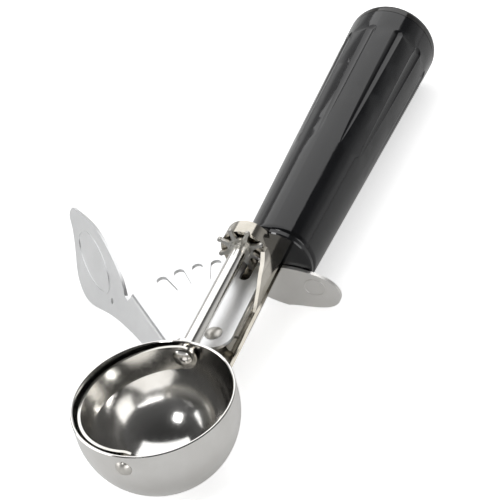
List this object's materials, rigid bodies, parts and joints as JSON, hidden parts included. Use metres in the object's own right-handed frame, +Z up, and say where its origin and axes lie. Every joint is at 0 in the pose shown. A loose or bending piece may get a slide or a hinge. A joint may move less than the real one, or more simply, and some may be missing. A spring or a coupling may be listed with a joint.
{
  "type": "ice cream scoop",
  "caption": "Portion scoop with a hemispherical bowl, a sweeping scraper blade driven by a geared thumb lever, and a fluted round handle.",
  "frame": {"origin": "middle of the footprint, on the table the scoop lies on", "axes": "+Z up, +X along the handle away from the bowl, +Y to the thumb lever side"},
  "size_m": [0.2222, 0.097, 0.0315],
  "materials": {
    "bowl_steel": "polished inside, fine satin outside",
    "blade_steel": "polished",
    "lever_steel": "satin stamped sheet",
    "frame_steel": "bright polished",
    "rest_steel": "satin",
    "shaft_steel": "bright ground",
    "rivet_steel": "tumbled",
    "pinion_steel": "stamped, dull",
    "spring_steel": "drawn wire",
    "inner_steel": "plain",
    "black_plastic": "gloss moulded",
    "cap_plastic": "gloss moulded"
  },
  "bodies": {
    "frame": {"bearing_plate": "frame_steel", "bowl": "bowl_steel", "finger_rest": "rest_steel", "frame_channel": "frame_steel", "front_pivot_rivet": "rivet_steel", "front_washer": "rivet_steel", "handle_end_cap": "cap_plastic", "handle_grip": "black_plastic", "handle_tang": "inner_steel", "lever_pivot_rivet": "rivet_steel", "pivot_spacer": "rivet_steel", "return_spring": "spring_steel", "shaft_bushing": "shaft_steel", "tang_nut": "inner_steel", "tang_washer": "inner_steel"},
    "lever": {"thumb_lever": "lever_steel"},
    "scraper": {"scraper_blade": "blade_steel", "scraper_shaft": "shaft_steel", "pinion_gear": "pinion_steel", "pinion_hub": "pinion_steel"}
  },
  "joints": [
    {"name": "lever_hinge", "type": "hinge", "parent": "frame", "child": "lever", "pos_m": [-0.04894, -0.02212, 0.0177], "axis": [0, 0, -1], "range_deg": [0, 38.5], "stiffness_Nm_per_rad": 0.1, "springref_deg": -20.05, "deforming": ["return_spring"]},
    {"name": "scraper_spin", "type": "hinge", "parent": "frame", "child": "scraper", "pos_m": [-0.05694, -0.02092, 0.0241], "axis": [-1, 0, 0], "range_deg": [0, 169.06]}
  ],
  "couplings": [
    {"joint": "scraper_spin", "follows": "lever_hinge", "ratio": 4.3885}
  ]
}
